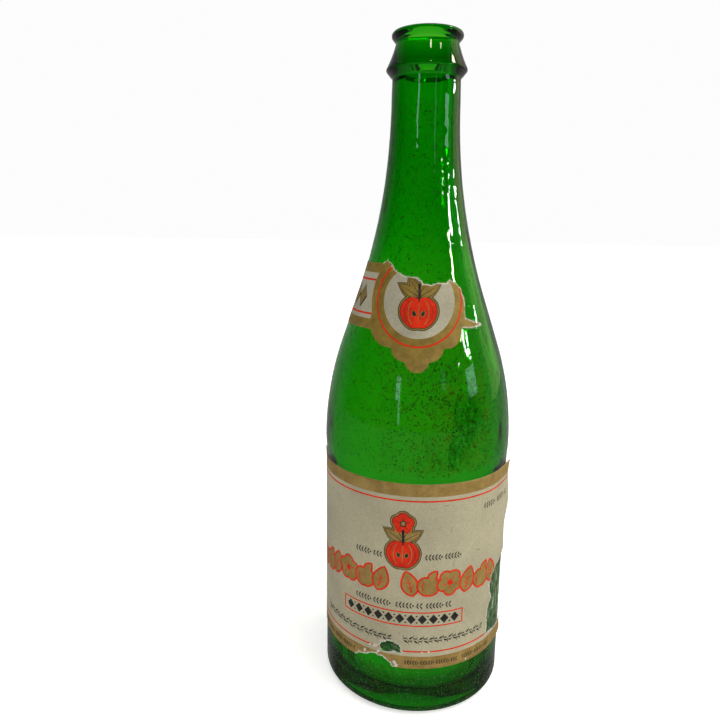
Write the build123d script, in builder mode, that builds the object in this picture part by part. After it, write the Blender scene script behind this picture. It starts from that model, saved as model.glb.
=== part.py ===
"""Open 75 cl sparkling-cider bottle in green glass, with what is left of its two paper labels.

Millimetres, +Z up. The origin is the centre of the base, on the plane the bottle stands on.
The middle of the body label faces -Y. Azimuths are in degrees from -Y, positive towards +X.
"""
import os
from math import cos, radians, sin

from build123d import *

os.makedirs("parts", exist_ok=True)

# ---- the glass, outside ----
height = 290.0
panel_radius = 41.5          # straight wall that the body label is glued to
panel_top_z = 110.0
contact_radius = 41.9        # slightly larger ring where bottles touch on a filling line
contact_z = 117.5
heel_radius = 5.0
bearing_outer_radius = panel_radius - heel_radius
bearing_inner_radius = 33.0
shoulder_arc_radius = 138.0
shoulder_slope = 18.5        # degrees from vertical, where shoulder turns into neck
neck_radius = 14.5
neck_z = 262.6

# ---- the finish: collar ring, groove and rounded lip ----
collar_radius = 16.9
collar_z = 275.1
collar_nose_radius = 1.0
collar_underside_z = 272.4
groove_radius = 13.1
groove_z = 285.3
groove_fillet = 1.1
lip_radius = 14.85
lip_bead_radius = 1.65

# ---- the glass, inside ----
bore_radius = 8.9
bore_bottom_z = 258.0
mouth_round = 1.0
wall = 3.2
floor_fillet = 8.0
punt_height = 20.0           # how far the push-up rises above the plane the bottle stands on
punt_crown_radius = 17.0
punt_thickness = 6.5
punt_lip_fillet = 3.0
inner_slope = 18.2
inner_shoulder_arc_radius = 134.0

# ---- the labels ----
glue_thickness = 0.05
paper_thickness = 0.10
body_label_bottom_z = 23.9
body_label_top_z = 109.1
body_label_half_angle = 88.0
band_bottom_z = 170.1        # neck label: the plain band that runs round to the back
band_top_z = 196.6
band_start_azimuth = -128.0
medallion_azimuth = 5.0
medallion_centre_z = 181.9


def polar(centre, radius, degrees_from_x):
    """Point on a circle in the section plane, as (radius, z)."""
    angle = radians(degrees_from_x)
    return centre[0] + radius * cos(angle), centre[1] + radius * sin(angle)


def taper(low, high, arc_radius, slope):
    """Tangent points of a wall that leaves low vertically, leans in by slope and ends vertical at high.

    Each of low and high is (radius, z). Below is a convex arc, then a straight, then a concave arc,
    whose radius follows from the other sizes.
    """
    lean = radians(slope)
    radial = low[0] - high[0]
    rise = high[1] - low[1]
    # radial = sum(arcs) * (1 - cos) + straight * sin, and rise = sum(arcs) * sin + straight * cos
    arcs = (rise * sin(lean) - radial * cos(lean)) / (sin(lean) ** 2 - (1 - cos(lean)) * cos(lean))
    neck_arc = arcs - arc_radius
    low_centre = (low[0] - arc_radius, low[1])
    high_centre = (high[0] + neck_arc, high[1])
    return low_centre, arc_radius, high_centre, neck_arc


def taper_edges(low, high, arc_radius, slope, offset=0.0):
    """Draws the wall of taper() in the sketch being built, moved outwards by offset."""
    low_centre, convex, high_centre, concave = taper(low, high, arc_radius, slope)
    convex += offset
    concave -= offset
    low_end = polar(low_centre, convex, slope)
    high_end = polar(high_centre, concave, 180 + slope)
    ThreePointArc(polar(low_centre, convex, 0), polar(low_centre, convex, slope / 2), low_end)
    Line(low_end, high_end)
    ThreePointArc(high_end, polar(high_centre, concave, 180 + slope / 2), polar(high_centre, concave, 180))


shoulder_foot = (contact_radius, contact_z)
neck_head = (neck_radius, neck_z)
inner_foot = (contact_radius - wall, contact_z - 1.0)
inner_head = (bore_radius, bore_bottom_z)


def finish_edges(start):
    """Collar ring, groove, lip bead and the round into the mouth, from start up and inwards."""
    nose_centre = (collar_radius - collar_nose_radius, collar_z)
    nose_low = polar(nose_centre, collar_nose_radius, -55)
    nose_high = polar(nose_centre, collar_nose_radius, 27)
    Line(start, nose_low)
    ThreePointArc(nose_low, polar(nose_centre, collar_nose_radius, -14), nose_high)
    groove_centre = (groove_radius + groove_fillet, groove_z)
    groove_low = polar(groove_centre, groove_fillet, 194)
    groove_high = polar(groove_centre, groove_fillet, 130)
    TangentArc(nose_high, groove_low, tangent=(-sin(radians(27)), cos(radians(27))))
    ThreePointArc(groove_low, polar(groove_centre, groove_fillet, 165), groove_high)
    bead_centre = (lip_radius - lip_bead_radius, height - lip_bead_radius)
    bead_low = polar(bead_centre, lip_bead_radius, -48)
    bead_top = (bead_centre[0], height)
    Line(groove_high, bead_low)
    ThreePointArc(bead_low, polar(bead_centre, lip_bead_radius, 20), bead_top)
    mouth_centre = (bore_radius + mouth_round, height - mouth_round)
    mouth_top = (mouth_centre[0], height)
    mouth_low = (bore_radius, height - mouth_round)
    Line(bead_top, mouth_top)
    ThreePointArc(mouth_top, polar(mouth_centre, mouth_round, 135), mouth_low)
    Line(mouth_low, inner_head)


# ---- glass_bottle ----
punt_top = (0.0, punt_height)
punt_crown_centre = (0.0, punt_height - punt_crown_radius)
punt_lip_centre = (bearing_inner_radius, punt_lip_fillet)
punt_crown_end = polar(punt_crown_centre, punt_crown_radius, 38)
punt_lip_start = polar(punt_lip_centre, punt_lip_fillet, 218)

floor_top = (0.0, punt_height + punt_thickness)
floor_crown_radius = punt_crown_radius + punt_thickness
floor_crown_end = polar(punt_crown_centre, floor_crown_radius, 42)
floor_corner_centre = (panel_radius - wall - floor_fillet, 7.5 + floor_fillet)
floor_corner_start = polar(floor_corner_centre, floor_fillet, 245)

with BuildPart() as glass_bottle:
    with BuildSketch(Plane.XZ):
        with BuildLine():
            ThreePointArc(punt_top, polar(punt_crown_centre, punt_crown_radius, 64), punt_crown_end)
            Line(punt_crown_end, punt_lip_start)
            bearing_start = (bearing_inner_radius, 0.0)
            ThreePointArc(punt_lip_start, polar(punt_lip_centre, punt_lip_fillet, 244), bearing_start)
            Line(bearing_start, (bearing_outer_radius, 0.0))
            heel_centre = (bearing_outer_radius, heel_radius)
            heel_top = (panel_radius, heel_radius)
            ThreePointArc((bearing_outer_radius, 0.0), polar(heel_centre, heel_radius, -45), heel_top)
            Line(heel_top, (panel_radius, panel_top_z))
            Spline(
                (panel_radius, panel_top_z),
                shoulder_foot,
                tangents=((0, 1), (0, 1)),
            )
            taper_edges(shoulder_foot, neck_head, shoulder_arc_radius, shoulder_slope)
            collar_start = (neck_radius - 0.2, collar_underside_z)
            Line(neck_head, collar_start)
            finish_edges(collar_start)
            taper_edges(inner_foot, inner_head, inner_shoulder_arc_radius, inner_slope)
            inner_panel_top = (panel_radius - wall, panel_top_z - 6.0)
            Spline(inner_foot, inner_panel_top, tangents=((0, -1), (0, -1)))
            inner_wall_low = (panel_radius - wall, floor_corner_centre[1])
            Line(inner_panel_top, inner_wall_low)
            ThreePointArc(
                inner_wall_low,
                polar(floor_corner_centre, floor_fillet, -50),
                floor_corner_start,
            )
            Line(floor_corner_start, floor_crown_end)
            ThreePointArc(floor_crown_end, polar(punt_crown_centre, floor_crown_radius, 66), floor_top)
            Line(floor_top, punt_top)
        make_face()
    revolve(axis=Axis.Z)
glass_bottle.part.label = "glass_bottle"


def facing_plane(azimuth):
    """Plane through the bottle's axis that looks outwards at azimuth, with its y along +Z."""
    angle = radians(azimuth)
    return Plane(
        origin=(0, 0, 0),
        x_dir=(cos(angle), sin(angle), 0),
        z_dir=(sin(angle), -cos(angle), 0),
    )


# ---- body label: where the paper is gone ----
# Each outline is (distance to the right of the outline's own azimuth, z).
edge_tear_azimuth = 74.0
edge_tear = [
    (14.0, 65.0), (4.0, 64.0), (-3.5, 62.2), (-7.6, 59.5), (-9.4, 56.0), (-8.6, 51.5), (-6.8, 48.6),
    (-9.6, 44.5), (-10.6, 40.0), (-10.2, 36.0), (-10.8, 32.0), (-3.0, 30.6), (14.0, 30.2),
]
lower_tear_azimuth = -18.0
lower_tear = [
    (-9.0, 22.0), (-8.8, 23.9), (-4.6, 26.0), (-0.4, 27.8), (2.6, 28.3), (5.4, 28.0), (8.0, 25.8),
    (9.6, 24.2), (10.0, 22.0),
]
hole_azimuth = -5.5
hole = [
    (-5.0, 33.6), (-2.4, 36.0), (0.8, 36.1), (3.6, 34.0), (4.4, 31.0), (1.4, 31.9), (-2.0, 30.6), (-5.0, 31.4),
]


def section_plane(azimuth):
    """Plane through the bottle's axis that holds the section at azimuth, with its x outwards and y along +Z."""
    outwards = facing_plane(azimuth)
    return Plane(origin=(0, 0, 0), x_dir=outwards.z_dir, z_dir=-outwards.x_dir)


def outline_face(azimuth, outline):
    """Face through the bottle's axis with a straight-sided outline, looking outwards at azimuth."""
    with BuildSketch(facing_plane(azimuth)) as face:
        with BuildLine():
            Polyline(*outline, close=True)
        make_face()
    return face.sketch


def body_section(inner_offset, outer_offset):
    """Section through the body label's left edge, between two distances off the glass."""
    with BuildSketch(section_plane(-body_label_half_angle)) as section:
        middle_radius = panel_radius + (inner_offset + outer_offset) / 2
        with Locations((middle_radius, (body_label_bottom_z + body_label_top_z) / 2)):
            Rectangle(outer_offset - inner_offset, body_label_top_z - body_label_bottom_z)
    return section.sketch


label_arc = 2 * body_label_half_angle
cut_depth = panel_radius + 5.0
paper_inside = glue_thickness
paper_outside = glue_thickness + paper_thickness

# ---- body_label_glue: stays on the glass in the tear at the right edge ----
with BuildPart() as body_label_glue:
    revolve(body_section(0.0, glue_thickness), axis=Axis.Z, revolution_arc=label_arc)
    extrude(outline_face(lower_tear_azimuth, lower_tear), amount=cut_depth, mode=Mode.SUBTRACT)
    extrude(outline_face(hole_azimuth, hole), amount=cut_depth, mode=Mode.SUBTRACT)
body_label_glue.part.label = "body_label_glue"

# ---- body_label ----
with BuildPart() as body_label:
    revolve(body_section(paper_inside, paper_outside), axis=Axis.Z, revolution_arc=label_arc)
    extrude(outline_face(edge_tear_azimuth, edge_tear), amount=cut_depth, mode=Mode.SUBTRACT)
    extrude(outline_face(lower_tear_azimuth, lower_tear), amount=cut_depth, mode=Mode.SUBTRACT)
    extrude(outline_face(hole_azimuth, hole), amount=cut_depth, mode=Mode.SUBTRACT)
body_label.part.label = "body_label"

# ---- label_residue: back layer of the paper, left in the right-hand tear ----
residue_thickness = 0.06
residue = [
    (9.5, 63.0), (3.6, 62.8), (-2.4, 60.6), (-6.4, 58.2), (-8.2, 55.4), (-7.4, 51.6), (-5.6, 48.6),
    (-8.4, 44.0), (-9.4, 40.0), (-9.0, 36.0), (-9.4, 33.2), (-2.6, 31.8), (9.5, 31.4),
]
with BuildPart() as label_residue:
    residue_section = body_section(glue_thickness, glue_thickness + residue_thickness)
    revolve(residue_section, axis=Axis.Z, revolution_arc=label_arc)
    extrude(outline_face(edge_tear_azimuth, residue), amount=cut_depth, mode=Mode.INTERSECT)
label_residue.part.label = "label_residue"

# ---- neck label ----
# The medallion's outline, seen square on: (distance to the right of its own azimuth, z).
torn_top = [
    (-19.0, band_top_z), (-15.2, 196.4), (-13.1, 198.1), (-11.2, 196.0), (-10.2, 194.3), (-7.5, 192.8),
    (-4.3, 191.8), (-1.0, 191.8), (0.6, 190.6), (1.4, 189.2), (4.6, 188.7), (10.4, 189.4), (12.1, 190.7),
    (14.6, 189.2), (16.8, 187.0), (17.9, 183.6), (18.7, 180.0), (19.1, 175.2),
]
tail = [(22.2, 173.6), (25.0, 172.7), (25.4, 171.5), (21.4, 171.1), (17.7, 171.5)]
lobe_joints = [(17.4, 168.6), (10.6, 164.0), (4.9, 158.6), (-4.9, 158.6), (-10.7, 163.8), (-19.6, 170.0)]
lobe_bulge = [0.24, 0.20, 0.42, 0.20, 0.20]


def bulged(start, end, bulge):
    """Middle point of an arc from start to end that bows out by bulge times its length."""
    dx = end[0] - start[0]
    dz = end[1] - start[1]
    return (start[0] + end[0]) / 2 - dz * bulge, (start[1] + end[1]) / 2 + dx * bulge


def neck_section(inner_offset, outer_offset):
    """Section of a thin sheet on the shoulder and neck, between two distances off the glass."""
    wall_line = (shoulder_foot, neck_head, shoulder_arc_radius, shoulder_slope)
    low_centre, convex, high_centre, concave = taper(*wall_line)
    with BuildSketch(Plane.XZ) as section:
        with BuildLine():
            taper_edges(*wall_line, inner_offset)
            taper_edges(*wall_line, outer_offset)
            Line(polar(low_centre, convex + inner_offset, 0), polar(low_centre, convex + outer_offset, 0))
            Line(
                polar(high_centre, concave - inner_offset, 180),
                polar(high_centre, concave - outer_offset, 180),
            )
        make_face()
    return section.sketch


def medallion_face():
    """Outline of what is left of the medallion, looking outwards."""
    with BuildSketch(facing_plane(medallion_azimuth)) as face:
        with BuildLine():
            Polyline(*torn_top, *tail, lobe_joints[0])
            for start, end, bulge in zip(lobe_joints, lobe_joints[1:], lobe_bulge):
                ThreePointArc(start, bulged(start, end, bulge), end)
            Polyline(lobe_joints[-1], (-19.0, band_bottom_z), torn_top[0])
        make_face()
    return face.sketch


def band_section():
    """Section through the free end of the plain band, from near the axis to outside the glass."""
    with BuildSketch(section_plane(band_start_azimuth)) as section:
        with Locations((panel_radius / 2 + 5.0, (band_bottom_z + band_top_z) / 2)):
            Rectangle(panel_radius, band_top_z - band_bottom_z)
    return section.sketch


band_end_azimuth = medallion_azimuth - 38.0
with BuildPart() as neck_outline:
    extrude(medallion_face(), amount=panel_radius)
    revolve(band_section(), axis=Axis.Z, revolution_arc=band_end_azimuth - band_start_azimuth)

with BuildPart() as neck_label_glue:
    revolve(neck_section(0.0, paper_inside), axis=Axis.Z)
    add(neck_outline.part, mode=Mode.INTERSECT)
neck_label_glue.part.label = "neck_label_glue"

with BuildPart() as neck_label:
    revolve(neck_section(paper_inside, paper_outside), axis=Axis.Z)
    add(neck_outline.part, mode=Mode.INTERSECT)
neck_label.part.label = "neck_label"

export_step(glass_bottle.part, "parts/glass_bottle.step")
export_step(body_label_glue.part, "parts/body_label_glue.step")
export_step(body_label.part, "parts/body_label.step")
export_step(label_residue.part, "parts/label_residue.step")
export_step(neck_label_glue.part, "parts/neck_label_glue.step")
export_step(neck_label.part, "parts/neck_label.step")
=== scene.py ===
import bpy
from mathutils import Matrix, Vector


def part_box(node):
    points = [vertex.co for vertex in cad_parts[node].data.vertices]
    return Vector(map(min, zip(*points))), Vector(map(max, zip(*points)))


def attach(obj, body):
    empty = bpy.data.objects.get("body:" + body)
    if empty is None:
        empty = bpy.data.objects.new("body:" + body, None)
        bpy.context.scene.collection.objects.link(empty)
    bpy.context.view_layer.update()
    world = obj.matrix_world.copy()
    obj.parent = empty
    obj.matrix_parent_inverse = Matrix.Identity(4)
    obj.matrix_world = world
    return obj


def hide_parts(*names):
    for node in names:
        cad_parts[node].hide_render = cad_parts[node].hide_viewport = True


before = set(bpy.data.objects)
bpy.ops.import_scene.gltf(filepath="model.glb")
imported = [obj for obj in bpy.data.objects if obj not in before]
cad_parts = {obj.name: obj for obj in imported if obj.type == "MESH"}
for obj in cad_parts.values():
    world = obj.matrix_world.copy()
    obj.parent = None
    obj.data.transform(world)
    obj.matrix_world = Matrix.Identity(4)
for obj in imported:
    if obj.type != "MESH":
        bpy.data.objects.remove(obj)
"""Looks of an open green glass cider bottle with what is left of its two paper labels.

Lengths are in millimetres up to the point where a mesh is made, and mm() turns them into metres.
Azimuths are in degrees from -Y, positive towards +X. The body label faces -Y.
"""
import math
import random

import bpy
import numpy as np
from mathutils import Matrix, Vector, noise
from mathutils.geometry import delaunay_2d_cdt

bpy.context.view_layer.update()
glass_low, glass_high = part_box("glass_bottle")

# ---------------------------------------------------------------- driving sizes
HEIGHT = (glass_high.z - glass_low.z) * 1000
CONTACT_RADIUS = max((glass_high.x - glass_low.x) * 500, 41.9)
PANEL_RADIUS = 41.5
PANEL_TOP = 110.0
CONTACT_Z = 117.5
SHOULDER_ARC = 138.0
SHOULDER_SLOPE = 18.5
NECK_RADIUS = 14.5
NECK_Z = 262.6
WALL = 3.2
BORE_RADIUS = 8.9
BORE_BOTTOM = 258.0
INNER_ARC = 134.0
INNER_SLOPE = 18.2
PUNT_HEIGHT = 20.0
PUNT_CROWN = 17.0
PUNT_THICKNESS = 6.5
BEARING_INNER = 33.0
BEARING_OUTER = 36.5
BEARING_ROUND = 3.0
HEEL_ROUND = 5.0
FLOOR_ROUND = 8.0
FLOOR_Z = 15.5
COLLAR_FOOT_Z = 271.2
COLLAR_RADIUS = 16.9
COLLAR_Z = 275.1
COLLAR_ROUND = 1.0
GROOVE_RADIUS = 13.1
GROOVE_Z = 285.3
GROOVE_ROUND = 1.1
LIP_RADIUS = 14.85
LIP_ROUND = 1.65

LABEL_BOTTOM = 23.9
LABEL_TOP = 109.1
LABEL_HALF_ANGLE = 88.0
MEDALLION_AZIMUTH = 5.0
MEDALLION_Z = 181.9
BAND_BOTTOM = 170.1
BAND_TOP = 196.6
BAND_START = -128.0
PAPER = 0.10
GLUE = 0.05


def mm(*values):
    """Millimetres to metres."""
    return tuple(v / 1000 for v in values)


# ---------------------------------------------------------------- section of the glass
def arc(centre, radius, start, end, count):
    """Points (r, z) on an arc, angles in degrees from +r."""
    angles = np.radians(np.linspace(start, end, count))
    return [(centre[0] + radius * math.cos(a), centre[1] + radius * math.sin(a)) for a in angles]


def taper(low, high, arc_radius, slope):
    """Convex arc, straight and concave arc from low to high, both ends vertical: (centre, radius) of each arc."""
    sine, cosine = math.sin(math.radians(slope)), math.cos(math.radians(slope))
    radial = low[0] - high[0]
    rise = high[1] - low[1]
    concave = (rise * sine - radial * cosine) / (sine ** 2 - (1 - cosine) * cosine) - arc_radius
    return (low[0] - arc_radius, low[1]), arc_radius, (high[0] + concave, high[1]), concave


def taper_points(low, high, arc_radius, slope, shoulder_step, neck_step):
    """Points on the taper, closer together towards the neck."""
    low_centre, convex, high_centre, concave = taper(low, high, arc_radius, slope)
    first = arc(low_centre, convex, 0, slope, int(convex * math.radians(slope) / shoulder_step))
    last = arc(high_centre, concave, 180 + slope, 180, int(concave * math.radians(slope) / neck_step))
    count = int(math.dist(first[-1], last[0]) / neck_step) + 1
    return first + line(first[-1], last[0], count + 1)[1:-1] + last


def line(start, end, count):
    return [tuple(p) for p in np.linspace(start, end, count)]


def ease(start, end, count):
    """Points from start to end whose ends both run vertically."""
    steps = np.linspace(0, 1, count)
    return [(start[0] + (end[0] - start[0]) * (3 * t * t - 2 * t ** 3), start[1] + (end[1] - start[1]) * t) for t in steps]


def joined(*runs):
    """One list of points without doubles."""
    points = []
    for run in runs:
        for p in run:
            if not points or math.dist(points[-1], p) > 1e-4:
                points.append(p)
    return points


def outside():
    """Outer section from the middle of the punt, under the base, and up to the mouth."""
    nose = (COLLAR_RADIUS - COLLAR_ROUND, COLLAR_Z)
    groove = (GROOVE_RADIUS + GROOVE_ROUND, GROOVE_Z)
    bead = (LIP_RADIUS - LIP_ROUND, HEIGHT - LIP_ROUND)
    punt = (0, PUNT_HEIGHT - PUNT_CROWN)
    bearing = (BEARING_INNER, BEARING_ROUND)
    # circle through both ends of the flare that leaves the nose at 27 degrees
    flare_start = arc(nose, COLLAR_ROUND, 27, 27, 1)[0]
    flare_end = arc(groove, GROOVE_ROUND, 194, 194, 1)[0]
    side = np.array([math.cos(math.radians(27)), math.sin(math.radians(27))])
    chord = np.array(flare_end) - np.array(flare_start)
    flare_radius = chord.dot(chord) / (2 * chord.dot(side))
    flare_centre = np.array(flare_start) + side * flare_radius
    a0 = math.degrees(math.atan2(*(np.array(flare_start) - flare_centre)[::-1]))
    a1 = math.degrees(math.atan2(*(np.array(flare_end) - flare_centre)[::-1]))
    if a1 > a0 + 180:
        a1 -= 360
    if a1 < a0 - 180:
        a1 += 360
    return joined(
        arc(punt, PUNT_CROWN, 90, 38, 14),
        line(arc(punt, PUNT_CROWN, 38, 38, 1)[0], arc(bearing, BEARING_ROUND, 218, 218, 1)[0], 10),
        arc(bearing, BEARING_ROUND, 218, 270, 8),
        line((BEARING_INNER, 0), (BEARING_OUTER, 0), 4),
        arc((BEARING_OUTER, HEEL_ROUND), HEEL_ROUND, -90, 0, 14),
        line((PANEL_RADIUS, HEEL_ROUND), (PANEL_RADIUS, 25), 15),
        line((PANEL_RADIUS, 25), (PANEL_RADIUS, PANEL_TOP), 24),
        ease((PANEL_RADIUS, PANEL_TOP), (CONTACT_RADIUS, CONTACT_Z), 7),
        taper_points((CONTACT_RADIUS, CONTACT_Z), (NECK_RADIUS, NECK_Z), SHOULDER_ARC, SHOULDER_SLOPE, 1.3, 0.8),
        line((NECK_RADIUS, NECK_Z), (NECK_RADIUS - 0.2, COLLAR_FOOT_Z), 6),
        arc((NECK_RADIUS + 1.5, COLLAR_FOOT_Z), 1.7, 180, 118, 6),
        arc(nose, COLLAR_ROUND, -55, 27, 8),
        arc(flare_centre, abs(flare_radius), a0, a1, 12),
        arc(groove, GROOVE_ROUND, 194, 130, 6),
        arc(bead, LIP_ROUND, -48, 90, 14),
        line((13.2, HEIGHT), (BORE_RADIUS + 1.0, HEIGHT), 4),
    )


def inside():
    """Inner section from the mouth down to the middle of the floor."""
    foot = (CONTACT_RADIUS - WALL, CONTACT_Z - 1.0)
    wall = PANEL_RADIUS - WALL
    corner = (wall - FLOOR_ROUND, FLOOR_Z)
    crown = PUNT_CROWN + PUNT_THICKNESS
    crown_centre = (0, PUNT_HEIGHT - PUNT_CROWN)
    return joined(
        arc((BORE_RADIUS + 1.0, HEIGHT - 1.0), 1.0, 90, 180, 7),
        line((BORE_RADIUS, HEIGHT - 1.0), (BORE_RADIUS, BORE_BOTTOM), 12),
        taper_points(foot, (BORE_RADIUS, BORE_BOTTOM), INNER_ARC, INNER_SLOPE, 1.5, 1.0)[::-1],
        ease(foot, (wall, PANEL_TOP - 6.0), 6),
        line((wall, PANEL_TOP - 6.0), (wall, corner[1]), 26),
        arc(corner, FLOOR_ROUND, 0, -115, 12),
        line(arc(corner, FLOOR_ROUND, -115, -115, 1)[0], arc(crown_centre, crown, 42, 42, 1)[0], 6),
        arc(crown_centre, crown, 42, 90, 10),
    )


OUTER = outside()
INNER = inside()
HEEL_START = next(i for i, p in enumerate(OUTER) if p[0] > PANEL_RADIUS - 1e-6)
WALL_CURVE = np.array([p for p in OUTER[HEEL_START:] if p[1] <= 270])


def outer_radius(z):
    """Radius of the glass at a height between the heel and the collar."""
    return np.interp(z, WALL_CURVE[:, 1], WALL_CURVE[:, 0])


FLOOR_START = next(i for i, p in enumerate(INNER) if p[1] <= 15.6)
INNER_CURVE = np.array([p for p in INNER[:FLOOR_START] if p[1] <= HEIGHT - 1.0][::-1])


def inner_radius(z):
    return np.interp(z, INNER_CURVE[:, 1], INNER_CURVE[:, 0])


# ---------------------------------------------------------------- meshes
def mesh_object(name, verts, faces, material_index=None, smooth=True, materials=()):
    """Object from vertices in millimetres."""
    mesh = bpy.data.meshes.new(name)
    mesh.from_pydata([mm(*v) for v in verts], [], faces)
    for m in materials:
        mesh.materials.append(m)
    if material_index is not None:
        mesh.polygons.foreach_set("material_index", material_index)
    mesh.polygons.foreach_set("use_smooth", [smooth] * len(mesh.polygons))
    mesh.validate()
    mesh.update()
    obj = bpy.data.objects.new(name, mesh)
    bpy.context.scene.collection.objects.link(obj)
    return obj


def around(azimuth, radius, z):
    """Point of the bottle from azimuth in degrees, radius and height."""
    a = math.radians(azimuth)
    return radius * math.sin(a), -radius * math.cos(a), z


def ripple(azimuth, z, across, along, seed):
    """Smooth noise from -1 to 1 that closes round the bottle; across and along are its sizes in mm."""
    a = math.radians(azimuth)
    r = 40.0 / across
    return noise.noise(Vector((r * math.sin(a), r * math.cos(a), z / along + seed)))


SEAMS = (84.0, -96.0)


def outer_unevenness(azimuth, z):
    """How far the outer skin stands off its true radius: faint waves, and a fine ripple on the neck."""
    neck = min(1.0, max(0.0, (z - 150.0) / 40.0)) * (1.0 if z < 262 else 0.3)
    free = 1.0 if z < 262 else 0.3
    waves = 0.05 * free * ripple(azimuth, z, 14, 20, 3.0) - 0.03 * free
    if z > 262:
        waves += 0.035 * ripple(azimuth, z, 12, 5, 27.0) - 0.02
    return waves + (0.017 + 0.030 * neck) * ripple(azimuth, z, 7.0, 4.2, 7.0)


def inner_unevenness(azimuth, z, r):
    """How far the blown inner wall stands off its true radius."""
    if r <= 9.0:
        return 0.10 * ripple(azimuth, z, 14, 9, 23.0) + 0.05 * ripple(azimuth, z, 8, 4, 29.0)
    depth = min(1.0, (r - 8.9) / 6.0)
    slow = 0.38 * ripple(azimuth, z, 22, 46, 11.0) + 0.12 * ripple(azimuth, z, 7, 18, 17.0)
    return depth * slow + 0.035 * ripple(azimuth, z, 3.2, 5.0, 19.0)


def build_glass():
    """The bottle as one closed solid of revolution, with mould seams and the uneven inner wall of blown glass."""
    columns = [360.0 * i / 192 for i in range(192)]
    for seam in SEAMS:
        columns = [c for c in columns if abs((c - seam + 180) % 360 - 180) > 1.2]
        columns += [(seam + d) % 360 for d in (-0.95, -0.45, -0.15, 0.15, 0.45, 0.95)]
    columns.sort()
    section = OUTER[1:] + INNER[:-1]
    split = len(OUTER) - 1
    verts = []
    for k, (r, z) in enumerate(section):
        outer = k < split
        for c in columns:
            radius = r
            if outer and z > 6 and r > 12:
                radius += outer_unevenness(c, z)
                for seam in SEAMS:
                    if abs((c - seam + 180) % 360 - 180) < 0.5 and z < 284:
                        radius += 0.07
            if not outer and 14 < z < 288:
                radius += inner_unevenness(c, z, r)
            verts.append(around(c, radius, z))
    count = len(columns)
    faces = []
    for k in range(len(section) - 1):
        for i in range(count):
            j = (i + 1) % count
            a, b = k * count, (k + 1) * count
            faces.append((a + i, a + j, b + j, b + i))
    verts.append((0, 0, OUTER[0][1]))
    verts.append((0, 0, INNER[-1][1]))
    last = (len(section) - 1) * count
    for i in range(count):
        j = (i + 1) % count
        faces.append((len(verts) - 2, j, i))
        faces.append((len(verts) - 1, last + i, last + j))
    return mesh_object("bottle_glass", verts, faces)


# ---------------------------------------------------------------- outlines
def circle(cx, cy, radius, count=96):
    steps = np.radians(np.linspace(0, 360, count, endpoint=False))
    return [(cx + radius * math.cos(a), cy + radius * math.sin(a)) for a in steps]


def ring(cx, cy, radius, width, count=96):
    """A ring as outer and inner loop."""
    return [circle(cx, cy, radius + width / 2, count), circle(cx, cy, radius - width / 2, count)]


def box(x0, y0, x1, y1):
    return [(x0, y0), (x1, y0), (x1, y1), (x0, y1)]


def grown(loop, amount):
    """The closed outline moved outwards by amount."""
    p = np.array(loop, float)
    area = 0.5 * np.sum(p[:, 0] * np.roll(p[:, 1], -1) - np.roll(p[:, 0], -1) * p[:, 1])
    before = p - np.roll(p, 1, axis=0)
    after = np.roll(p, -1, axis=0) - p
    before /= np.maximum(np.linalg.norm(before, axis=1), 1e-9)[:, None]
    after /= np.maximum(np.linalg.norm(after, axis=1), 1e-9)[:, None]
    t = before + after
    t /= np.maximum(np.linalg.norm(t, axis=1), 1e-9)[:, None]
    normal = np.stack([t[:, 1], -t[:, 0]], -1) * (1 if area > 0 else -1)
    return [tuple(q) for q in p + normal * amount]


def stroke(points, widths):
    """Closed outline of a pen stroke along points, with a width at each."""
    p = np.array(points, float)
    w = np.broadcast_to(np.array(widths, float), (len(p),))
    t = np.gradient(p, axis=0)
    t /= np.maximum(np.linalg.norm(t, axis=1), 1e-9)[:, None]
    n = np.stack([-t[:, 1], t[:, 0]], -1)
    left = p + n * w[:, None] / 2
    right = p - n * w[:, None] / 2
    return [tuple(q) for q in left] + [tuple(q) for q in right[::-1]]


def turned(loop, angle, cx=0.0, cy=0.0):
    c, s = math.cos(math.radians(angle)), math.sin(math.radians(angle))
    return [(cx + (x * c - y * s), cy + (x * s + y * c)) for x, y in loop]


def leaf(length, width, count=13):
    """Pointed leaf along +y from the origin."""
    t = np.linspace(0, 1, count)
    half = width / 2 * np.sin(math.pi * t ** 0.8) ** 0.9
    left = [(-h, length * s) for h, s in zip(half, t)]
    right = [(h, length * s) for h, s in zip(half, t)][::-1][1:-1]
    return left + right


def apple(width):
    """Outline of an apple, its middle at the origin."""
    points = []
    for a in np.linspace(0, 360, 72, endpoint=False):
        s, c = math.sin(math.radians(a)), math.cos(math.radians(a))
        dent = 0.17 * math.exp(-((a - 90) / 17) ** 2) + 0.09 * math.exp(-((a - 270) / 15) ** 2)
        narrow = 1.0 + 0.07 * s
        points.append((width / 2 * c * narrow, width / 2 * s * 0.93 * (1 - dent)))
    return points


def ragged(points, size, step, seed):
    """An open torn edge through points, with finer and finer teeth."""
    rng = random.Random(seed)
    p = [tuple(q) for q in points]
    amplitude = size
    while max(math.dist(a, b) for a, b in zip(p, p[1:])) > step:
        finer = [p[0]]
        for a, b in zip(p, p[1:]):
            length = math.dist(a, b)
            if length > step:
                nx, ny = -(b[1] - a[1]) / length, (b[0] - a[0]) / length
                push = rng.uniform(-1, 1) * min(amplitude, length * 0.22)
                finer.append(((a[0] + b[0]) / 2 + nx * push, (a[1] + b[1]) / 2 + ny * push))
            finer.append(b)
        p = finer
        amplitude *= 0.62
    return p


def dense(loop, step):
    """The closed outline with no side longer than step."""
    out = []
    for a, b in zip(loop, loop[1:] + loop[:1]):
        n = max(1, math.ceil(math.dist(a, b) / step))
        out += [(a[0] + (b[0] - a[0]) * i / n, a[1] + (b[1] - a[1]) * i / n) for i in range(n)]
    return out


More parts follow.
